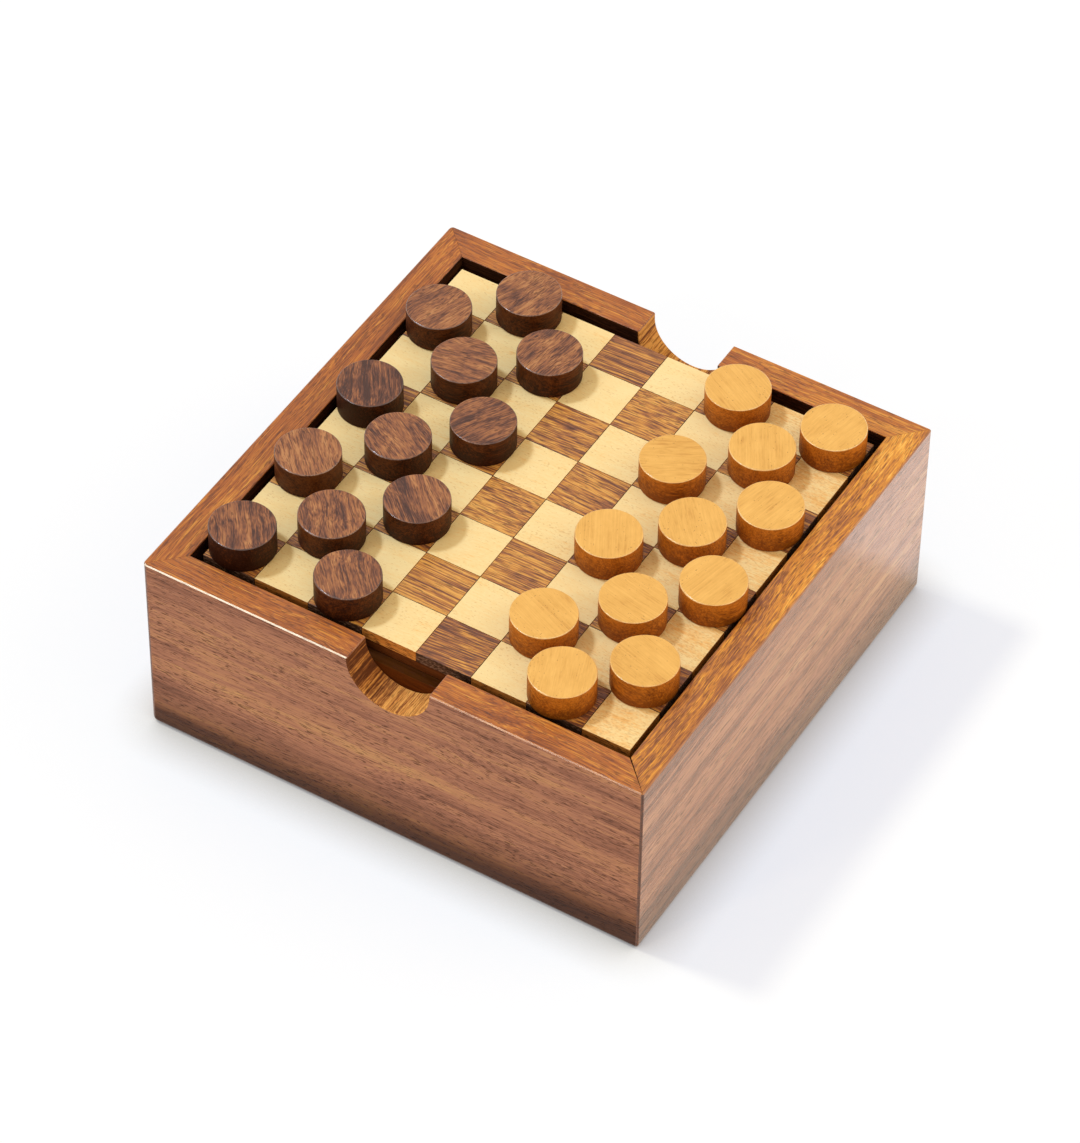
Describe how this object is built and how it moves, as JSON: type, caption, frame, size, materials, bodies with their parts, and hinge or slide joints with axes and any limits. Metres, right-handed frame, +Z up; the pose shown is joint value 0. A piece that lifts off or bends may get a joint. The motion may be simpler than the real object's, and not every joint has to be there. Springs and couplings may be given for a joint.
{
  "type": "checkers and tic-tac-toe set",
  "caption": "Square wooden storage box with a lift-out reversible board, checkers squares on one face and a tic-tac-toe field on the other, and loose dark and light discs.",
  "frame": {"origin": "centre of the box's underside", "axes": "+Z up from the underside, +X along the two notched walls towards the light discs' side, +Y towards the back wall, whose finger notch is a little off its middle"},
  "size_m": [0.15, 0.151, 0.0676],
  "materials": {
    "wall_wood": "satin lacquer",
    "panel_wood": "matt",
    "strip_wood": "matt",
    "dark_square_wood": "satin lacquer",
    "light_square_wood": "satin lacquer",
    "dark_disc_wood": "satin lacquer",
    "light_disc_wood": "satin lacquer"
  },
  "bodies": {
    "box": {"wall_front": "wall_wood", "wall_right": "wall_wood", "wall_back": "wall_wood", "wall_left": "wall_wood", "bottom_panel": "panel_wood", "strip_front": "strip_wood", "strip_back": "strip_wood", "strip_left": "strip_wood", "strip_right": "strip_wood"},
    "board": {"board_core": "dark_square_wood", "light_squares": "light_square_wood", "grid_inlay": "light_square_wood"},
    "dark_disc_1": {"dark_disc_1": "dark_disc_wood"},
    "dark_disc_2": {"dark_disc_2": "dark_disc_wood"},
    "dark_disc_3": {"dark_disc_3": "dark_disc_wood"},
    "dark_disc_4": {"dark_disc_4": "dark_disc_wood"},
    "dark_disc_5": {"dark_disc_5": "dark_disc_wood"},
    "dark_disc_6": {"dark_disc_6": "dark_disc_wood"},
    "dark_disc_7": {"dark_disc_7": "dark_disc_wood"},
    "dark_disc_8": {"dark_disc_8": "dark_disc_wood"},
    "dark_disc_9": {"dark_disc_9": "dark_disc_wood"},
    "dark_disc_10": {"dark_disc_10": "dark_disc_wood"},
    "dark_disc_11": {"dark_disc_11": "dark_disc_wood"},
    "dark_disc_12": {"dark_disc_12": "dark_disc_wood"},
    "light_disc_1": {"light_disc_1": "light_disc_wood"},
    "light_disc_2": {"light_disc_2": "light_disc_wood"},
    "light_disc_3": {"light_disc_3": "light_disc_wood"},
    "light_disc_4": {"light_disc_4": "light_disc_wood"},
    "light_disc_5": {"light_disc_5": "light_disc_wood"},
    "light_disc_6": {"light_disc_6": "light_disc_wood"},
    "light_disc_7": {"light_disc_7": "light_disc_wood"},
    "light_disc_8": {"light_disc_8": "light_disc_wood"},
    "light_disc_9": {"light_disc_9": "light_disc_wood"},
    "light_disc_10": {"light_disc_10": "light_disc_wood"},
    "light_disc_11": {"light_disc_11": "light_disc_wood"},
    "light_disc_12": {"light_disc_12": "light_disc_wood"}
  },
  "joints": [
    {"name": "board_lift", "type": "slide", "parent": "box", "child": "board", "axis": [0, 0, 1], "range_m": [0, 0.05]},
    {"name": "dark_disc_1_lift", "type": "slide", "parent": "board", "child": "dark_disc_1", "axis": [0, 0, 1], "range_m": [0, 0.03]},
    {"name": "dark_disc_2_lift", "type": "slide", "parent": "board", "child": "dark_disc_2", "axis": [0, 0, 1], "range_m": [0, 0.03]},
    {"name": "dark_disc_3_lift", "type": "slide", "parent": "board", "child": "dark_disc_3", "axis": [0, 0, 1], "range_m": [0, 0.03]},
    {"name": "dark_disc_4_lift", "type": "slide", "parent": "board", "child": "dark_disc_4", "axis": [0, 0, 1], "range_m": [0, 0.03]},
    {"name": "dark_disc_5_lift", "type": "slide", "parent": "board", "child": "dark_disc_5", "axis": [0, 0, 1], "range_m": [0, 0.03]},
    {"name": "dark_disc_6_lift", "type": "slide", "parent": "board", "child": "dark_disc_6", "axis": [0, 0, 1], "range_m": [0, 0.03]},
    {"name": "dark_disc_7_lift", "type": "slide", "parent": "board", "child": "dark_disc_7", "axis": [0, 0, 1], "range_m": [0, 0.03]},
    {"name": "dark_disc_8_lift", "type": "slide", "parent": "board", "child": "dark_disc_8", "axis": [0, 0, 1], "range_m": [0, 0.03]},
    {"name": "dark_disc_9_lift", "type": "slide", "parent": "board", "child": "dark_disc_9", "axis": [0, 0, 1], "range_m": [0, 0.03]},
    {"name": "dark_disc_10_lift", "type": "slide", "parent": "board", "child": "dark_disc_10", "axis": [0, 0, 1], "range_m": [0, 0.03]},
    {"name": "dark_disc_11_lift", "type": "slide", "parent": "board", "child": "dark_disc_11", "axis": [0, 0, 1], "range_m": [0, 0.03]},
    {"name": "dark_disc_12_lift", "type": "slide", "parent": "board", "child": "dark_disc_12", "axis": [0, 0, 1], "range_m": [0, 0.03]},
    {"name": "light_disc_1_lift", "type": "slide", "parent": "board", "child": "light_disc_1", "axis": [0, 0, 1], "range_m": [0, 0.03]},
    {"name": "light_disc_2_lift", "type": "slide", "parent": "board", "child": "light_disc_2", "axis": [0, 0, 1], "range_m": [0, 0.03]},
    {"name": "light_disc_3_lift", "type": "slide", "parent": "board", "child": "light_disc_3", "axis": [0, 0, 1], "range_m": [0, 0.03]},
    {"name": "light_disc_4_lift", "type": "slide", "parent": "board", "child": "light_disc_4", "axis": [0, 0, 1], "range_m": [0, 0.03]},
    {"name": "light_disc_5_lift", "type": "slide", "parent": "board", "child": "light_disc_5", "axis": [0, 0, 1], "range_m": [0, 0.03]},
    {"name": "light_disc_6_lift", "type": "slide", "parent": "board", "child": "light_disc_6", "axis": [0, 0, 1], "range_m": [0, 0.03]},
    {"name": "light_disc_7_lift", "type": "slide", "parent": "board", "child": "light_disc_7", "axis": [0, 0, 1], "range_m": [0, 0.03]},
    {"name": "light_disc_8_lift", "type": "slide", "parent": "board", "child": "light_disc_8", "axis": [0, 0, 1], "range_m": [0, 0.03]},
    {"name": "light_disc_9_lift", "type": "slide", "parent": "board", "child": "light_disc_9", "axis": [0, 0, 1], "range_m": [0, 0.03]},
    {"name": "light_disc_10_lift", "type": "slide", "parent": "board", "child": "light_disc_10", "axis": [0, 0, 1], "range_m": [0, 0.03]},
    {"name": "light_disc_11_lift", "type": "slide", "parent": "board", "child": "light_disc_11", "axis": [0, 0, 1], "range_m": [0, 0.03]},
    {"name": "light_disc_12_lift", "type": "slide", "parent": "board", "child": "light_disc_12", "axis": [0, 0, 1], "range_m": [0, 0.03]}
  ]
}
